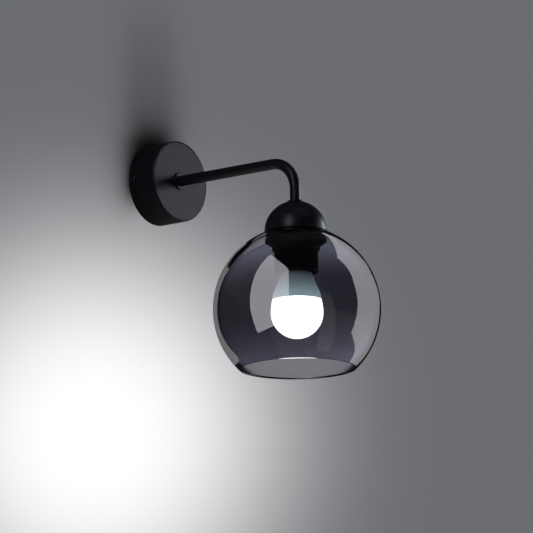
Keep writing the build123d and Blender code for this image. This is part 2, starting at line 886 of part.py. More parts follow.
def make_bulb_diffuser():
    outer_rim = (bulb_waist_radius - rim_step, waist_z)
    inner_rim = (bulb_waist_radius - rim_step - bulb_wall, waist_z)
    outer_side = (bulb_radius, equator_z)
    inner_side = (bulb_radius - bulb_wall, equator_z)
    rise = waist_z - equator_z
    outer_swell = bulb_radius - outer_rim[0]
    inner_swell = inner_side[0] - inner_rim[0]
    return turned(
        bowed_arc(outer_rim, outer_side, swell_bulge(outer_swell, rise)),
        ball_arc(bulb_radius, equator_z, 0, -90),
        line_of([(0, equator_z - bulb_radius), (0, equator_z - bulb_radius + bulb_wall)]),
        ball_arc(bulb_radius - bulb_wall, equator_z, -90, 0),
        bowed_arc(inner_side, inner_rim, swell_bulge(inner_swell, rise)),
        line_of([inner_rim, outer_rim]),
    )


def swell_bulge(swell, rise):
    """How far an arc bows if it ends parallel to the axis, where its radius is greatest."""
    radius = (swell**2 + rise**2) / (2 * swell)
    half_chord = math.hypot(swell, rise) / 2
    return radius - math.sqrt(radius**2 - half_chord**2)


# ---------------------------------------------------------------- the parts
pieces = {
    "wall_bracket": make_wall_bracket,
    "bracket_earth_washer": make_bracket_earth_washer,
    "bracket_earth_screw": make_bracket_earth_screw,
    "canopy_cover": make_canopy_cover,
    "side_screws": make_side_screws,
    "arm_collar": make_arm_collar,
    "arm_tube": make_arm_tube,
    "arm_tooth_washer": make_arm_tooth_washer,
    "earth_lug": make_earth_lug,
    "arm_lock_nut": make_arm_lock_nut,
    "terminal_block": make_terminal_block,
    "terminal_clamps": make_terminal_clamps,
    "terminal_screws": make_terminal_screws,
    "live_wire": make_live_wire,
    "neutral_wire": make_neutral_wire,
    "earth_wire": make_earth_wire,
    "dome_washer": make_dome_washer,
    "dome_cap": make_dome_cap,
    "dome_nut": make_dome_nut,
    "holder_cap": make_holder_cap,
    "holder_insert": make_holder_insert,
    "holder_terminals": make_holder_terminals,
    "holder_terminal_screws": make_holder_terminal_screws,
    "centre_contact": make_centre_contact,
    "holder_shell": make_holder_shell,
    "holder_skirt": make_holder_skirt,
    "shade_ring": make_shade_ring,
    "glass_shade": make_glass_shade,
    "bulb_contact": make_bulb_contact,
    "bulb_insulator": make_bulb_insulator,
    "bulb_cap": make_bulb_cap,
    "bulb_housing": make_bulb_housing,
    "driver_board": make_driver_board,
    "led_board": make_led_board,
    "led_chips": make_led_chips,
    "bulb_diffuser": make_bulb_diffuser,
}

os.makedirs("parts", exist_ok=True)
for name, make in pieces.items():
    made = make()
    if not isinstance(made, list):
        made = [made]
    solids = [solid for shape in made for solid in shape.solids()]
    export_step(Compound(solids), f"parts/{name}.step")
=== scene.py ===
"""The looks of a globe wall sconce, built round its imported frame. Metres, with +Z up.

The wall is the plane y = 0 and the lamp stands out along -Y.
"""

import math

import bpy
from mathutils import Matrix, Vector

# The photograph's frame and the camera that took it
PICTURE_SIZE = 533
PICTURE_MIDDLE = PICTURE_SIZE / 2
FOCAL_PIXELS = 20000
SENSOR_WIDTH = 36.0
CAMERA_BEARING = math.radians(49.15)
CAMERA_DROP = math.radians(10.87)
CAMERA_ROLL = math.radians(-0.93)
CAMERA_DISTANCE = 17.902
CAMERA_TARGET = Vector((0.0345, -0.100, -0.083))
CAMERA_RANGE = (0.1, 60.0)

# Places on the lamp
LAMP_REACH = 0.165
GLOBE_CENTRE = Vector((0, -LAMP_REACH, -0.13553))
GLOBE_RADIUS = 0.075
BULB_HOUSING_TOP_Z = -0.1028
BULB_WAIST_Z = -0.1273
BULB_BOTTOM_Z = GLOBE_CENTRE.z - 0.026

# The light of the bulb's bowl, and the painted glow of its neck from the top down to the bowl:
# the bowl's light painted on as emission, dark at the top as painted shade under the lampholder's
# skirt
BULB_LIGHT = 8.0
HOUSING_PAINTED_GLOW_TOP = (0.004, 0.010, 0.013)
HOUSING_PAINTED_GLOW_BOTTOM = (0.52, 0.76, 0.76)
HOUSING_PAINTED_GLOW_BEND = 1.4

# The glass: how far it bends light, its tint seen straight on and along its edge, between
# which slants the tint changes, and what it leaves of the light that falls on the lamp
GLASS_BEND = 1.5
GLASS_TINT = (0.330, 0.330, 0.350)
GLASS_EDGE_TINT = (0.008, 0.008, 0.010)
GLASS_EDGE_SLANT = (0.62, 0.76)
GLASS_SHADOW_TINT = (0.57, 0.57, 0.59, 1)


# ---------------------------------------------------------------- camera
def camera_axes():
    """The camera's right, up and backward directions."""
    away = Vector((
        -math.sin(CAMERA_BEARING) * math.cos(CAMERA_DROP),
        -math.cos(CAMERA_BEARING) * math.cos(CAMERA_DROP),
        -math.sin(CAMERA_DROP),
    ))
    level = Vector((math.cos(CAMERA_BEARING), -math.sin(CAMERA_BEARING), 0))
    rise = away.cross(level)
    right = math.cos(CAMERA_ROLL) * level + math.sin(CAMERA_ROLL) * rise
    up = math.cos(CAMERA_ROLL) * rise - math.sin(CAMERA_ROLL) * level
    return right, up, away


def camera_place():
    """Where the camera stands, below its target and looking up at it."""
    return CAMERA_TARGET + camera_axes()[2] * CAMERA_DISTANCE


def make_camera():
    """The camera that took the photograph, as near as its picture tells."""
    data = bpy.data.cameras.new("camera")
    data.sensor_width = SENSOR_WIDTH
    data.lens = FOCAL_PIXELS / PICTURE_SIZE * SENSOR_WIDTH
    data.clip_start, data.clip_end = CAMERA_RANGE
    camera = bpy.data.objects.new("camera", data)
    bpy.context.scene.collection.objects.link(camera)
    right, up, away = camera_axes()
    turn = Matrix((right, up, away)).transposed().to_4x4()
    camera.matrix_world = Matrix.Translation(camera_place()) @ turn
    bpy.context.scene.camera = camera


def sight_line(x, y):
    """The direction from the camera through a place in the picture."""
    right, up, away = camera_axes()
    across = (x - PICTURE_MIDDLE) / FOCAL_PIXELS
    above = (PICTURE_MIDDLE - y) / FOCAL_PIXELS
    return (right * across + up * above - away).normalized()


def ball_hit(start, direction, centre, radius, far=False):
    """Where a line meets a ball, or None."""
    offset = start - centre
    along = offset.dot(direction)
    inside = along * along - offset.length_squared + radius * radius
    if inside < 0:
        return None
    root = math.sqrt(inside)
    return start + direction * (-along + (root if far else -root))


# ---------------------------------------------------------------- materials
class Shader:
    """A node material that is being put together."""

    def __init__(self, name):
        self.material = bpy.data.materials.new(name)
        self.material.use_nodes = True
        self.tree = self.material.node_tree
        self.tree.nodes.clear()
        self.output = self.node("ShaderNodeOutputMaterial")
        self.place = self.node("ShaderNodeTexCoord").outputs["Object"]

    def node(self, kind, inputs=None, **settings):
        made = self.tree.nodes.new(kind)
        for key, value in settings.items():
            setattr(made, key, value)
        for key, value in (inputs or {}).items():
            if isinstance(value, bpy.types.NodeSocket):
                self.tree.links.new(value, made.inputs[key])
            else:
                made.inputs[key].default_value = value
        return made

    def noise(self, size, detail=2.0, roughness=0.5):
        """Noise whose lumps are about this many metres across."""
        return self.node("ShaderNodeTexNoise", {
            "Vector": self.place, "Scale": 1 / size, "Detail": detail, "Roughness": roughness,
        }).outputs["Fac"]

    def spread(self, value, low, high, start=0.3, end=0.7):
        """Stretches a value over a range. The usual start and end suit noise."""
        return self.node("ShaderNodeMapRange", {
            "Value": value, "From Min": start, "From Max": end, "To Min": low, "To Max": high,
        }).outputs["Result"]

    def blend(self, share, first, second):
        """A colour between two colours."""
        mixer = self.node("ShaderNodeMix", data_type="RGBA")
        self.tree.links.new(share, mixer.inputs[0])
        for socket, colour in ((mixer.inputs[6], first), (mixer.inputs[7], second)):
            if isinstance(colour, bpy.types.NodeSocket):
                self.tree.links.new(colour, socket)
            else:
                socket.default_value = (*colour, 1)
        return mixer.outputs[2]

    def math(self, operation, *values):
        """One step of arithmetic on numbers and sockets."""
        inputs = dict(enumerate(values))
        return self.node("ShaderNodeMath", inputs, operation=operation).outputs[0]

    def rounded(self, radius):
        """The surface's direction with its sharp edges softened."""
        return self.node("ShaderNodeBevel", {"Radius": radius}, samples=4).outputs[0]

    def bump(self, height, distance, normal=None):
        """A surface direction with small unevenness in it."""
        inputs = {"Height": height, "Distance": distance, "Strength": 1.0}
        if normal is not None:
            inputs["Normal"] = normal
        return self.node("ShaderNodeBump", inputs).outputs[0]

    def either(self, share, first, second):
        """The first surface where the share is 0, and the second where it is 1."""
        return self.node(
            "ShaderNodeMixShader", {0: share, 1: first.outputs[0], 2: second.outputs[0]})

    def principled(self, **inputs):
        """A surface whose inputs are named with underscores in place of spaces."""
        named = {key.replace("_", " "): value for key, value in inputs.items()}
        return self.node("ShaderNodeBsdfPrincipled", named)

    def finish(self, shader):
        """Ends the material with this surface."""
        self.tree.links.new(shader.outputs[0], self.output.inputs["Surface"])
        return self.material


def powder_coat():
    """Fine matt black powder coating with a slight orange peel."""
    shader = Shader("black_powder_coat")
    peel = shader.noise(0.0011, detail=3.0, roughness=0.6)
    cloud = shader.noise(0.012)
    colour = shader.blend(cloud, (0.0048, 0.0050, 0.0062), (0.0072, 0.0076, 0.0094))
    roughness = shader.spread(peel, 0.32, 0.42)
    normal = shader.bump(peel, 0.00006, normal=shader.rounded(0.0004))
    return shader.finish(shader.principled(
        Base_Color=colour, Roughness=roughness, Normal=normal, Specular_IOR_Level=0.28))


def blackened_steel():
    """Black oxide screws, a little brighter where a driver has rubbed them."""
    shader = Shader("blackened_steel")
    wear = shader.noise(0.0012, detail=4.0)
    colour = shader.blend(shader.spread(wear, 0, 1), (0.020, 0.020, 0.024), (0.075, 0.075, 0.085))
    roughness = shader.spread(wear, 0.30, 0.48)
    normal = shader.bump(wear, 0.00003, normal=shader.rounded(0.0002))
    return shader.finish(shader.principled(
        Base_Color=colour, Metallic=0.85, Roughness=roughness, Normal=normal))


def bare_metal(name, dark, light, low_roughness, high_roughness):
    """Plated or bare metal with fine marks."""
    shader = Shader(name)
    marks = shader.noise(0.0009, detail=5.0, roughness=0.65)
    cloud = shader.noise(0.006, detail=3.0)
    colour = shader.blend(shader.spread(cloud, 0, 1), dark, light)
    roughness = shader.spread(marks, low_roughness, high_roughness)
    normal = shader.bump(marks, 0.00002, normal=shader.rounded(0.0002))
    return shader.finish(shader.principled(
        Base_Color=colour, Metallic=1.0, Roughness=roughness, Normal=normal))


def moulded_plastic(name, dark, light, low_roughness, high_roughness, gloss=0.5):
    """Moulded plastic with a fine spark-eroded grain."""
    shader = Shader(name)
    texture = shader.noise(0.0007, detail=3.0, roughness=0.6)
    cloud = shader.noise(0.010)
    colour = shader.blend(shader.spread(cloud, 0, 1), dark, light)
    roughness = shader.spread(texture, low_roughness, high_roughness)
    normal = shader.bump(texture, 0.00003, normal=shader.rounded(0.0003))
    return shader.finish(shader.principled(
        Base_Color=colour, Roughness=roughness, Normal=normal, Specular_IOR_Level=gloss))


def clear_plastic():
    """The milky clear plastic of a connector block."""
    shader = Shader("clear_block")
    cloud = shader.noise(0.004, detail=3.0)
    colour = shader.blend(shader.spread(cloud, 0, 1), (0.72, 0.73, 0.72), (0.86, 0.87, 0.86))
    roughness = shader.spread(cloud, 0.22, 0.34)
    normal = shader.bump(cloud, 0.0001, normal=shader.rounded(0.0004))
    return shader.finish(shader.principled(
        Base_Color=colour, Roughness=roughness, Normal=normal,
        Subsurface_Weight=0.4, Subsurface_Radius=(0.002, 0.002, 0.002)))


def earth_sleeve():
    """Green sleeving with the yellow stripe of an earth lead."""
    shader = Shader("earth_sleeve")
    stripes = shader.node("ShaderNodeTexWave", {
        "Vector": shader.place, "Scale": 190.0, "Distortion": 0.6, "Detail": 1.0,
    }, bands_direction="DIAGONAL").outputs["Fac"]
    edge = shader.spread(stripes, 0, 1, start=0.45, end=0.55)
    colour = shader.blend(edge, (0.030, 0.160, 0.030), (0.62, 0.52, 0.030))
    texture = shader.noise(0.0008)
    return shader.finish(shader.principled(
        Base_Color=colour, Roughness=shader.spread(texture, 0.34, 0.46),
        Normal=shader.bump(texture, 0.00003)))


def smoked_glass():
    """Clear grey glass that bends and mirrors, and is darker along its edge."""
    shader = Shader("smoked_glass")
    waves = shader.noise(0.045, detail=1.0)
    slant = shader.node("ShaderNodeLayerWeight", {"Blend": 0.5}).outputs["Facing"]
    edge = shader.spread(slant, 0, 1, start=GLASS_EDGE_SLANT[0], end=GLASS_EDGE_SLANT[1])
    colour = shader.blend(edge, GLASS_TINT, GLASS_EDGE_TINT)
    body = shader.principled(
        Base_Color=colour, Roughness=0.0, IOR=GLASS_BEND,
        Transmission_Weight=1.0, Normal=shader.bump(waves, 0.00006))
    clear = shader.node("ShaderNodeBsdfTransparent", {"Color": GLASS_SHADOW_TINT})
    to_light = shader.node("ShaderNodeLightPath").outputs["Is Shadow Ray"]
    return shader.finish(shader.either(to_light, body, clear))


def height_share(shader, start, end):
    """0 at the first height and 1 at the second, which may be above or below it."""
    height = shader.node("ShaderNodeSeparateXYZ", {"Vector": shader.place}).outputs["Z"]
    return shader.spread(height, 0.0, 1.0, start, end)


def bulb_housing():
    """The white plastic neck of the bulb, with a painted glow: the bulb's light painted on,
    strongest at the bottom by the bowl and dark at the top as painted shade under the skirt.
    """
    shader = Shader("bulb_housing")
    cloud = shader.noise(0.008)
    colour = shader.blend(cloud, (0.50, 0.56, 0.57), (0.60, 0.66, 0.67))
    # Painted glow and painted shade: emission that grows from the top of the neck down to the
    # bowl
    depth = height_share(shader, BULB_HOUSING_TOP_Z, BULB_WAIST_Z)
    share = shader.math("POWER", depth, HOUSING_PAINTED_GLOW_BEND)
    glow = shader.blend(share, HOUSING_PAINTED_GLOW_TOP, HOUSING_PAINTED_GLOW_BOTTOM)
    texture = shader.noise(0.0009)
    return shader.finish(shader.principled(
        Base_Color=colour, Roughness=shader.spread(texture, 0.30, 0.42),
        Normal=shader.bump(texture, 0.00002),
        Emission_Color=glow, Emission_Strength=1.0))


def bulb_diffuser():
    """The lit opal bowl of the bulb, a touch cooler towards its rim."""
    shader = Shader("bulb_diffuser")
    rise = height_share(shader, BULB_BOTTOM_Z, BULB_WAIST_Z)
    glow = shader.blend(rise, (1.0, 0.985, 0.955), (0.93, 0.96, 1.0))
    texture = shader.noise(0.002)
    return shader.finish(shader.principled(
        Base_Color=(0.85, 0.85, 0.84, 1), Roughness=shader.spread(texture, 0.35, 0.45),
        Emission_Color=glow, Emission_Strength=BULB_LIGHT))


def circuit_board(name, base, track):
    """A board with broad copper tracks under its lacquer."""
    shader = Shader(name)
    cells = shader.node("ShaderNodeTexVoronoi", {"Vector": shader.place, "Scale": 420.0},
                        distance="MANHATTAN", feature="F1").outputs["Distance"]
    colour = shader.blend(shader.spread(cells, 0, 1, start=0.28, end=0.34), base, track)
    return shader.finish(shader.principled(
        Base_Color=colour, Roughness=shader.spread(cells, 0.25, 0.45, start=0, end=1)))


def led_chip():
    """The yellow phosphor of a small light emitter."""
    shader = Shader("led_chip")
    grain = shader.noise(0.0005)
    colour = shader.blend(grain, (0.85, 0.62, 0.12), (0.95, 0.78, 0.28))
    return shader.finish(shader.principled(
        Base_Color=colour, Roughness=0.5, Emission_Color=colour, Emission_Strength=1.5))


def make_materials():
    """Each finish with the CAD nodes that have it."""
    coat = powder_coat()
    zinc = bare_metal("zinc_steel", (0.46, 0.47, 0.49), (0.60, 0.61, 0.62), 0.30, 0.46)
    brass = bare_metal("plain_brass", (0.60, 0.42, 0.17), (0.72, 0.53, 0.24), 0.22, 0.38)
    shell = bare_metal("plated_shell", (0.60, 0.60, 0.58), (0.72, 0.72, 0.70), 0.18, 0.32)
    cap = bare_metal("plated_cap", (0.62, 0.60, 0.56), (0.76, 0.74, 0.70), 0.16, 0.28)
    tinned = bare_metal("tinned_contact", (0.58, 0.58, 0.58), (0.72, 0.72, 0.71), 0.24, 0.38)
    black_plastic = moulded_plastic(
        "black_plastic", (0.0040, 0.0040, 0.0045), (0.0065, 0.0065, 0.0070), 0.38, 0.50,
        gloss=0.25)
    core = moulded_plastic("holder_core", (0.30, 0.29, 0.27), (0.38, 0.37, 0.34), 0.40, 0.55)
    brown = moulded_plastic(
        "brown_sleeve", (0.075, 0.032, 0.014), (0.105, 0.048, 0.022), 0.32, 0.44)
    blue = moulded_plastic(
        "blue_sleeve", (0.014, 0.075, 0.260), (0.022, 0.105, 0.340), 0.32, 0.44)
    insulator = moulded_plastic(
        "bulb_insulator", (0.012, 0.012, 0.014), (0.022, 0.022, 0.024), 0.18, 0.30)
    driver = circuit_board("circuit_board", (0.03, 0.16, 0.07), (0.06, 0.27, 0.12))
    plate = circuit_board("led_board", (0.72, 0.73, 0.74), (0.85, 0.86, 0.86))
    return (
        (coat, ("canopy_cover", "arm_tube", "arm_collar", "dome_cap", "dome_washer")),
        (blackened_steel(), ("side_screws",)),
        (zinc, ("wall_bracket", "bracket_earth_washer", "bracket_earth_screw",
                "arm_tooth_washer", "arm_lock_nut", "dome_nut", "terminal_screws",
                "holder_terminal_screws")),
        (brass, ("earth_lug", "terminal_clamps", "holder_terminals", "centre_contact")),
        (shell, ("holder_shell",)),
        (cap, ("bulb_cap",)),
        (tinned, ("bulb_contact",)),
        (black_plastic, ("holder_cap", "holder_skirt", "shade_ring")),
        (core, ("holder_insert",)),
        (clear_plastic(), ("terminal_block",)),
        (brown, ("live_wire",)),
        (blue, ("neutral_wire",)),
        (earth_sleeve(), ("earth_wire",)),
        (smoked_glass(), ("glass_shade",)),
        (insulator, ("bulb_insulator",)),
        (bulb_housing(), ("bulb_housing",)),
        (bulb_diffuser(), ("bulb_diffuser",)),
        (driver, ("driver_board",)),
        (plate, ("led_board",)),
        (led_chip(), ("led_chips",)),
    )


def dress_frame(nodes):
    """Gives every CAD node its finish."""
    for material, names in make_materials():
        for name in names:
            node = nodes[name]
            if not node.material_slots:
                node.data.materials.append(material)
            for slot in node.material_slots:
                slot.material = material


# ---------------------------------------------------------------- wall and floor
WALL_GAP = 0.0006
WALL_HALF = 2.2
WALL_TINT = (0.98, 1.0, 1.08)
WALL_LIGHT = 0.150
# The pool of light on the wall, where X and Z are measured
POOL_TINT = (1.0, 1.0, 1.0)
POOL_LIGHT = 0.88
POOL_CENTRE = (-0.090, -0.239)
POOL_HALF_SIZE = (0.240, 0.172)
POOL_LEAN = -0.286
POOL_FALL = 2.58
# The lamp's soft shadow above the canopy and round its left side
CANOPY_RADIUS = 0.0365
SHADOW_X = -0.004
SHADOW_HALF_WIDTH = 0.038
SHADOW_SQUARENESS = 4.0
SHADOW_HEIGHT = 0.15
SHADOW_DEPTH = 0.56
CORE_HEIGHT = 0.018
CORE_DEPTH = 0.35
EDGE_REACH = 0.0145
EDGE_DEPTH = 0.9
EDGE_LEAN = (-0.4, 0.9)
# Light that has passed one wall of the globe, or both, counted in surfaces: between two
# whole numbers, because a wall has two surfaces
PAST_ONE_WALL = 1.5
PAST_BOTH_WALLS = 2.5
# What shows through one wall of the globe, by its mouth
MOUTH_LIGHT = 0.60
# What shows through both walls: even light that grows towards the top and the bottom. The
# middle is the place on the wall behind the globe's middle. Each side has how it goes across
# and up in globe radii, where it starts and how fast it grows
BEHIND_GLOBE = (0.191, -0.087)
BEHIND_LIGHT = 0.165
BEHIND_MOST = 1.0
BEHIND_TINT = (0.98, 1.0, 1.24)
BEHIND_SIDES = (
    (-0.12, 1.0, -0.313, 2.8),
    (0.09, -1.0, 0.01, 1.1),
)
# How much of the wall's light the solid pieces mirror, and how much the glass does
MIRRORED_SHARE = 0.15
WALL_IN_GLASS = 0.1
FLOOR_Z = -1.3
FLOOR_HALF = 9.0
FLOOR_LIGHT = 0.75


def one_sided(shader, surface):
    """Shows a surface from its front only, so that views from behind see past it."""
    back = shader.node("ShaderNodeNewGeometry").outputs["Backfacing"]
    clear = shader.node("ShaderNodeBsdfTransparent")
    return shader.finish(shader.either(back, surface, clear))


def ramp(shader, value, low, high, start, end):
    """A smooth step from start, where the value is low, to end, where it is high."""
    return shader.node("ShaderNodeMapRange", {
        "Value": value, "From Min": low, "From Max": high, "To Min": start, "To Max": end,
    }, interpolation_type="SMOOTHSTEP").outputs["Result"]


def light_pool(shader, x, z):
    """How bright the wall is: even light and a leaning oval pool below the lamp."""
    above = shader.math("SUBTRACT", z, POOL_CENTRE[1])
    across = shader.math("MULTIPLY_ADD", above, POOL_LEAN,
                         shader.math("SUBTRACT", x, POOL_CENTRE[0]))
    across = shader.math("DIVIDE", across, POOL_HALF_SIZE[0])
    above = shader.math("DIVIDE", above, POOL_HALF_SIZE[1])
    squares = shader.math("ADD", shader.math("MULTIPLY", across, across),
                          shader.math("MULTIPLY", above, above))
    fall = shader.math("POWER", squares, POOL_FALL / 2)
    share = shader.math("EXPONENT", shader.math("MULTIPLY", fall, -1.0))
    return shader.math("MULTIPLY_ADD", share, POOL_LIGHT, WALL_LIGHT)


def canopy_shadow(shader, x, z):
    """The share of the wall's light that is left beside and above the canopy."""
    radius = shader.math("SQRT", shader.math(
        "ADD", shader.math("MULTIPLY", x, x), shader.math("MULTIPLY", z, z)))
    gap = shader.math("MAXIMUM", shader.math("SUBTRACT", radius, CANOPY_RADIUS), 0.0)
    off_centre = shader.math("DIVIDE", shader.math("SUBTRACT", x, SHADOW_X), SHADOW_HALF_WIDTH)
    width = shader.math("DIVIDE", 1.0, shader.math(
        "ADD", shader.math("POWER", shader.math("ABSOLUTE", off_centre), SHADOW_SQUARENESS), 1.0))
    long = shader.math("MAXIMUM", shader.math(
        "MULTIPLY_ADD", gap, -SHADOW_DEPTH / SHADOW_HEIGHT, SHADOW_DEPTH), 0.0)
    core_share = shader.math("DIVIDE", gap, CORE_HEIGHT)
    core = shader.math("MULTIPLY", CORE_DEPTH, shader.math("EXPONENT", shader.math(
        "MULTIPLY", shader.math("MULTIPLY", core_share, core_share), -1.0)))
    above = ramp(shader, z, 0.0, CANOPY_RADIUS, 0.0, 1.0)
    plume = shader.math("MULTIPLY", shader.math("ADD", long, core),
                        shader.math("MULTIPLY", width, above))
    lean = shader.math("DIVIDE", shader.math("SUBTRACT", z, x), radius)
    side = ramp(shader, lean, *EDGE_LEAN, 0.0, EDGE_DEPTH)
    edge = shader.math("MULTIPLY", side, shader.math(
        "EXPONENT", shader.math("DIVIDE", gap, -EDGE_REACH)))
    return shader.math("MULTIPLY", shader.math("SUBTRACT", 1.0, plume),
                       shader.math("SUBTRACT", 1.0, edge))


def light_behind_globe(shader, x, z):
    """The dimmer, evener light that the wall gives through both walls of the globe."""
    right, up, _ = camera_axes()
    across = shader.math("SUBTRACT", x, BEHIND_GLOBE[0])
    above = shader.math("SUBTRACT", z, BEHIND_GLOBE[1])
    light = BEHIND_LIGHT
    for sideways, upwards, start, growth in BEHIND_SIDES:
        per_x = (sideways * right.x + upwards * up.x) / GLOBE_RADIUS
        per_z = (sideways * right.z + upwards * up.z) / GLOBE_RADIUS
        slope = shader.math("MULTIPLY_ADD", above, per_z,
                            shader.math("MULTIPLY_ADD", across, per_x, start))
        slope = shader.math("MAXIMUM", slope, 0.0)
        square = shader.math("MULTIPLY", slope, slope)
        light = shader.math("MULTIPLY_ADD", square, growth, light)
    return shader.math("MINIMUM", light, BEHIND_MOST)


def wall_light(shader, x, z):
    """The wall's colour and its brightness as the eye sees them past the lamp."""
    lit = light_pool(shader, x, z)
    tint = shader.blend(shader.math("DIVIDE", WALL_LIGHT, lit), POOL_TINT, WALL_TINT)
    return tint, shader.math("MULTIPLY", lit, canopy_shadow(shader, x, z))


def pick(shader, test, otherwise, chosen):
    """One number or another."""
    made = shader.node("ShaderNodeMix", {0: test, 2: otherwise, 3: chosen}, data_type="FLOAT")
    return made.outputs[0]


def wall_paint():
    """Smooth painted plaster with a pool of light below the lamp."""
    shader = Shader("wall_paint")
    parts = shader.node("ShaderNodeSeparateXYZ", {"Vector": shader.place}).outputs
    x, z = parts["X"], parts["Z"]
    tint, seen = wall_light(shader, x, z)
    path = shader.node("ShaderNodeLightPath").outputs
    through_one = shader.math("GREATER_THAN", path["Transmission Depth"], PAST_ONE_WALL)
    through_both = shader.math("GREATER_THAN", path["Transmission Depth"], PAST_BOTH_WALLS)
    strength = pick(shader, through_one, seen, MOUTH_LIGHT)
    strength = pick(shader, through_both, strength, light_behind_globe(shader, x, z))
    mirrored = shader.math("MINIMUM", path["Glossy Depth"], 1.0)
    strength = shader.math("MULTIPLY", strength, pick(shader, mirrored, 1.0, WALL_IN_GLASS))
    grain = shader.noise(0.004, detail=4.0)
    surface = shader.principled(
        Base_Color=(0.03, 0.03, 0.03, 1), Roughness=0.9,
        Normal=shader.bump(grain, 0.0001), Specular_IOR_Level=0.0,
        Emission_Color=shader.blend(through_both, tint, BEHIND_TINT),
        Emission_Strength=strength)
    return one_sided(shader, surface)


def clear_light(shader, colour, strength):
    """Light that other light passes through."""
    if not isinstance(colour, bpy.types.NodeSocket):
        colour = (*colour, 1)
    light = shader.node("ShaderNodeEmission", {"Color": colour, "Strength": strength})
    clear = shader.node("ShaderNodeBsdfTransparent")
    both = shader.node("ShaderNodeAddShader", {0: light.outputs[0], 1: clear.outputs[0]})
    return shader.finish(both)


def wall_gloss():
    """The wall's light alone, for the solid pieces to mirror."""
    shader = Shader("wall_gloss")
    parts = shader.node("ShaderNodeSeparateXYZ", {"Vector": shader.place}).outputs
    tint, seen = wall_light(shader, parts["X"], parts["Z"])
    return clear_light(shader, tint, shader.math("MULTIPLY", seen, MIRRORED_SHARE))


def floor_paint():
    """A plain pale floor."""
    shader = Shader("floor_paint")
    cloud = shader.noise(0.5, detail=2.0)
    colour = shader.blend(cloud, (0.60, 0.60, 0.59), (0.64, 0.64, 0.63))
    return one_sided(shader, shader.principled(
        Base_Color=colour, Roughness=0.85, Emission_Color=colour, Emission_Strength=FLOOR_LIGHT))


def stage_mesh(name, points, faces, material):
    """A mesh that isn't part of the lamp."""
    mesh = bpy.data.meshes.new(name)
    mesh.from_pydata([tuple(point) for point in points], [], faces)
    mesh.materials.append(material)
    made = bpy.data.objects.new(name, mesh)
    bpy.context.scene.collection.objects.link(made)
    return made


def wall_corners():
    """The corners of the wall, a hair behind the lamp's back."""
    return [(-WALL_HALF, WALL_GAP, FLOOR_Z), (WALL_HALF, WALL_GAP, FLOOR_Z),
            (WALL_HALF, WALL_GAP, WALL_HALF), (-WALL_HALF, WALL_GAP, WALL_HALF)]


def only_in_gloss(obj, lit):
    """Shows a light only where the pieces in a collection mirror it."""
    obj.light_linking.receiver_collection = lit
    obj.visible_camera = False
    obj.visible_diffuse = False
    obj.visible_shadow = False
    obj.visible_transmission = False


def make_room(solid):
    """The wall and the floor. The globe mirrors the cards in place of the wall."""
    made = stage_mesh("wall", wall_corners(), [(0, 1, 2, 3)], wall_paint())
    made.visible_glossy = False
    mirrored = stage_mesh("wall_gloss", wall_corners(), [(0, 1, 2, 3)], wall_gloss())
    only_in_gloss(mirrored, solid)
    floor = [(-FLOOR_HALF, -FLOOR_HALF, FLOOR_Z), (FLOOR_HALF, -FLOOR_HALF, FLOOR_Z),
             (FLOOR_HALF, FLOOR_HALF, FLOOR_Z), (-FLOOR_HALF, FLOOR_HALF, FLOOR_Z)]
    made = stage_mesh("floor", floor, [(0, 1, 2, 3)], floor_paint())
    made.visible_diffuse = False
    made.visible_glossy = False


# ---------------------------------------------------------------- light
# A card stands this far from the globe, or just off the wall where that is nearer
CARD_DISTANCE = 1.4
CARD_WALL_GAP = 0.002
CARD_COLUMNS = 12
CARD_TINT = (0.985, 0.98, 1.03)
# The globe in the photograph, in pixels
GLOBE_IN_PICTURE = (297.3, 309.3)
GLOBE_PICTURE_RADIUS = 84.0
# How bright each window looks on the globe, at its top and at its bottom
LEFT_WINDOW_LIGHT = (0.222, 0.228)
RIGHT_WINDOW_LIGHT = (0.222, 0.195)
STREAK_LIGHT = (0.085, 0.055)
LIMB_LIGHT = (0.135, 0.135)
ECHO_LIGHT = (0.010, 0.022)

# Places in the picture where bright windows show on the front of the globe. Each row has the
# left and the right end of the patch, from its top down
LEFT_WINDOW = (
    ((270, 255), (271, 255)), ((262, 263), (280, 262)), ((255, 275), (288.5, 269)),
    ((251.5, 287), (289, 280)), ((250, 299), (289, 292)), ((251, 311), (289, 304)),
    ((253, 320), (289, 312)), ((258, 333), (288, 320)),
)
UPPER_STREAK = (
    ((266, 232.5), (265, 244)), ((257, 237), (258, 247)), ((251, 243.5), (253, 249)),
    ((247, 248), (248, 252)), ((243, 254), (243.5, 254.5)),
)
# A faint second picture of the bulb on the globe's right
BULB_ECHO = (
    ((321, 290), (330, 294)), ((322, 300), (333.5, 303)), ((322, 312), (335.5, 314)),
    ((321, 324), (335.5, 326)), ((318, 336), (334.5, 338)), ((316, 346), (331, 348)),
    ((318, 351), (328, 352)),
)
# Each row has its left end, and its right end as a share of the globe's radius
RIGHT_WINDOW = (
    ((322, 233), 0.953), ((329, 238), 0.965), ((334, 245), 0.973), ((337, 258), 0.977),
    ((344, 264), 0.979), ((350, 273), 0.98), ((354, 283), 0.98), ((357, 296), 0.98),
    ((357.5, 308), 0.98), ((355, 322), 0.98), ((351, 333), 0.98), ((354, 342), 0.98),
    ((354.5, 352), 0.98), ((350.5, 361), 0.975), ((348.5, 368), 0.965),
)
# The bright edge on the globe's left, as rays from the globe's middle. Each row has the ray's
# angle below the level and where the edge starts on it, in shares of the globe's radius
LEFT_LIMB = (
    (-52, 0.98), (-42, 0.983), (-36, 0.97), (-30, 0.948), (-22, 0.952), (-8, 0.954),
    (8, 0.951), (18, 0.949), (24, 0.94), (30, 0.925), (38, 0.905), (42, 0.93),
)
LEFT_LIMB_END = 0.9995


def reflectance(cosine):
    """The share of light that plain glass mirrors at this angle to its surface."""
    inside = math.sqrt(1 - (1 - cosine * cosine) / GLASS_BEND**2)
    across = (cosine - GLASS_BEND * inside) / (cosine + GLASS_BEND * inside)
    along = (GLASS_BEND * cosine - inside) / (GLASS_BEND * cosine + inside)
    return (across * across + along * along) / 2


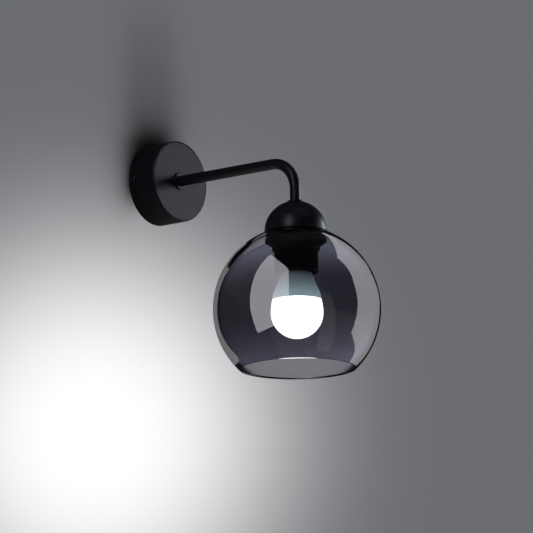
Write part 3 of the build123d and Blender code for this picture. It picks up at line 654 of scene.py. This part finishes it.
def card_light():
    """Plain light whose strength is kept on each card's points."""
    shader = Shader("card_light")
    strength = shader.node("ShaderNodeAttribute", attribute_name="glow").outputs["Fac"]
    return clear_light(shader, CARD_TINT, strength)


def mirrored_place(x, y):
    """The place in the room that the globe mirrors at a place in the picture, and the share."""
    start = camera_place()
    direction = sight_line(x, y)
    hit = ball_hit(start, direction, GLOBE_CENTRE, GLOBE_RADIUS)
    normal = (hit - GLOBE_CENTRE).normalized()
    reflected = direction - 2 * direction.dot(normal) * normal
    place = ball_hit(hit, reflected, GLOBE_CENTRE, CARD_DISTANCE, far=True)
    if place.y > -CARD_WALL_GAP:
        place = hit - reflected * ((hit.y + CARD_WALL_GAP) / reflected.y)
    return place, reflectance(-direction.dot(normal))


def make_card(name, rows, shown, material, glass):
    """A window that only shows in gloss, placed where the globe mirrors it."""
    points, glows = [], []
    for row, (left, right) in enumerate(rows):
        brightness = shown[0] + (shown[1] - shown[0]) * row / (len(rows) - 1)
        for column in range(CARD_COLUMNS + 1):
            share = column / CARD_COLUMNS
            place, mirrored = mirrored_place(
                left[0] + (right[0] - left[0]) * share,
                left[1] + (right[1] - left[1]) * share)
            points.append(place)
            glows.append(brightness / mirrored)
    width = CARD_COLUMNS + 1
    faces = [
        (row * width + column, row * width + column + 1,
         (row + 1) * width + column + 1, (row + 1) * width + column)
        for row in range(len(rows) - 1) for column in range(CARD_COLUMNS)
    ]
    card = stage_mesh(name, points, faces, material)
    card.data.attributes.new("glow", "FLOAT", "POINT").data.foreach_set("value", glows)
    only_in_gloss(card, glass)


def on_globe(across, above):
    """A place in the picture, from its place on the globe in shares of the globe's radius."""
    return (GLOBE_IN_PICTURE[0] + GLOBE_PICTURE_RADIUS * across,
            GLOBE_IN_PICTURE[1] - GLOBE_PICTURE_RADIUS * above)


def right_window_end(y, reach):
    """The place level with y on the globe's right, at a share of the globe's radius."""
    above = (GLOBE_IN_PICTURE[1] - y) / GLOBE_PICTURE_RADIUS
    return on_globe(math.sqrt(reach**2 - above**2), above)


def left_limb(reach, angle):
    """The place on the globe's left along a ray, at a share of the globe's radius."""
    turn = math.radians(angle)
    return on_globe(-reach * math.cos(turn), -reach * math.sin(turn))


def make_cards(glass):
    """The bright windows that the globe mirrors, each with how bright it looks on the globe."""
    material = card_light()
    right_window = [(start, right_window_end(start[1], reach)) for start, reach in RIGHT_WINDOW]
    limb = [(left_limb(LEFT_LIMB_END, angle), left_limb(start, angle))
            for angle, start in LEFT_LIMB]
    for name, rows, shown in (
        ("left_window", LEFT_WINDOW, LEFT_WINDOW_LIGHT),
        ("bulb_echo", BULB_ECHO, ECHO_LIGHT),
        ("upper_streak", UPPER_STREAK, STREAK_LIGHT),
        ("right_window", right_window, RIGHT_WINDOW_LIGHT),
        ("left_limb", limb, LIMB_LIGHT),
    ):
        make_card(name, rows, shown, material, glass)


# The tints of the soft lights
COOL = (0.95, 1.0, 1.20)
WHITE = (1, 1, 1)
# The soft lights on the solid pieces: name, place, target, size, brightness and tint
SOFTBOXES = (
    ("key", (0.66, -0.56, 0.06), (0, -0.05, 0), (0.36, 0.36), 1.3, COOL),
    ("left", (-1.40, -0.50, 0.75), (0, -0.1, 0), (0.45, 1.1), 3.8, COOL),
    ("right", (1.70, -0.45, 0.05), (0, -0.1, 0), (0.5, 1.2), 7.5, COOL),
    ("top", (0.1, -0.9, 1.7), (0, -0.1, 0), (1.2, 1.2), 0.2, COOL),
    ("front", (0.15, -2.3, 0.35), (0, -0.1, -0.05), (0.8, 1.2), 0.15, COOL),
    # The light that comes back from the bright pool on the wall
    ("pool", (POOL_CENTRE[0], -0.004, POOL_CENTRE[1]), (POOL_CENTRE[0], -1, POOL_CENTRE[1]),
     (0.5, 0.34), 0.16, WHITE),
)
# The soft light from behind, and what it shows inside the canopy
BEHIND_SOFTBOX = ("behind", (0.1, 1.9, 0.25), (0, 0, 0), (1.0, 1.0), 2.5, WHITE)
INNER_PIECES = (
    "canopy_cover", "wall_bracket", "bracket_earth_washer", "bracket_earth_screw",
    "terminal_block", "terminal_clamps", "terminal_screws", "live_wire", "neutral_wire",
    "earth_wire", "earth_lug", "arm_tooth_washer", "arm_lock_nut",
)
# The world as the eye, lit surfaces and gloss see it
BACKDROP = (0.60, 0.61, 0.62)
WORLD_ON_SURFACES = (0.050, 0.051, 0.055)
WORLD_IN_GLOSS = (0.012, 0.012, 0.014)


def aim(obj, place, target):
    """Puts a light at a place and turns it to its target."""
    away = (Vector(place) - Vector(target)).normalized()
    obj.location = place
    obj.rotation_mode = "QUATERNION"
    obj.rotation_quaternion = away.to_track_quat("Z", "Y")


def make_softbox(name, place, target, size, radiance, tint, lit):
    """A rectangular soft light of even brightness, for the pieces in a collection."""
    data = bpy.data.lights.new(name, "AREA")
    data.shape = "RECTANGLE"
    data.size, data.size_y = size
    data.energy = radiance * math.pi * size[0] * size[1]
    data.color = tint
    lamp = bpy.data.objects.new(name, data)
    bpy.context.scene.collection.objects.link(lamp)
    aim(lamp, place, target)
    lamp.visible_camera = False
    lamp.visible_transmission = False
    lamp.light_linking.receiver_collection = lit


def make_world():
    """Dim even light, with a pale backdrop behind the lamp."""
    world = bpy.data.worlds.new("world")
    bpy.context.scene.world = world
    world.use_nodes = True
    nodes, links = world.node_tree.nodes, world.node_tree.links
    nodes.clear()
    path = nodes.new("ShaderNodeLightPath")
    shown = None
    for colour, ray in ((BACKDROP, None), (WORLD_ON_SURFACES, "Is Diffuse Ray"),
                        (WORLD_IN_GLOSS, "Is Glossy Ray")):
        light = nodes.new("ShaderNodeBackground")
        light.inputs["Color"].default_value = (*colour, 1)
        if ray is None:
            shown = light
            continue
        both = nodes.new("ShaderNodeMixShader")
        links.new(path.outputs[ray], both.inputs[0])
        links.new(shown.outputs[0], both.inputs[1])
        links.new(light.outputs[0], both.inputs[2])
        shown = both
    links.new(shown.outputs[0], nodes.new("ShaderNodeOutputWorld").inputs["Surface"])


def collect(name, nodes, wanted):
    """A collection of some of the pieces, for lights that only those may have."""
    made = bpy.data.collections.new(name)
    for node_name, node in nodes.items():
        if wanted(node_name):
            made.objects.link(node)
    return made


def make_lights(solid, glass, inner):
    """The world, the cards and the soft lights, each for its own pieces."""
    make_world()
    make_cards(glass)
    for softbox in SOFTBOXES:
        make_softbox(*softbox, solid)
    make_softbox(*BEHIND_SOFTBOX, inner)


# ---------------------------------------------------------------- the scene
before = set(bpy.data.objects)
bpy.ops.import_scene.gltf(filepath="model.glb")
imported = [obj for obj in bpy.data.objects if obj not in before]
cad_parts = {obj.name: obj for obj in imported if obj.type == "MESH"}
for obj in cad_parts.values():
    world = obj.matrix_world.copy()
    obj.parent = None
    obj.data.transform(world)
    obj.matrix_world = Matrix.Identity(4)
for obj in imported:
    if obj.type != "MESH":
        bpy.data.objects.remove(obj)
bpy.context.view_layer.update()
make_camera()
dress_frame(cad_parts)
solid = collect("solid_pieces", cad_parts, lambda name: name != "glass_shade")
glass = collect("glass_pieces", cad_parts, lambda name: name == "glass_shade")
inner = collect("inner_pieces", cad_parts, lambda name: name in INNER_PIECES)
make_room(solid)
make_lights(solid, glass, inner)
bpy.context.scene.view_settings.view_transform = "Standard"
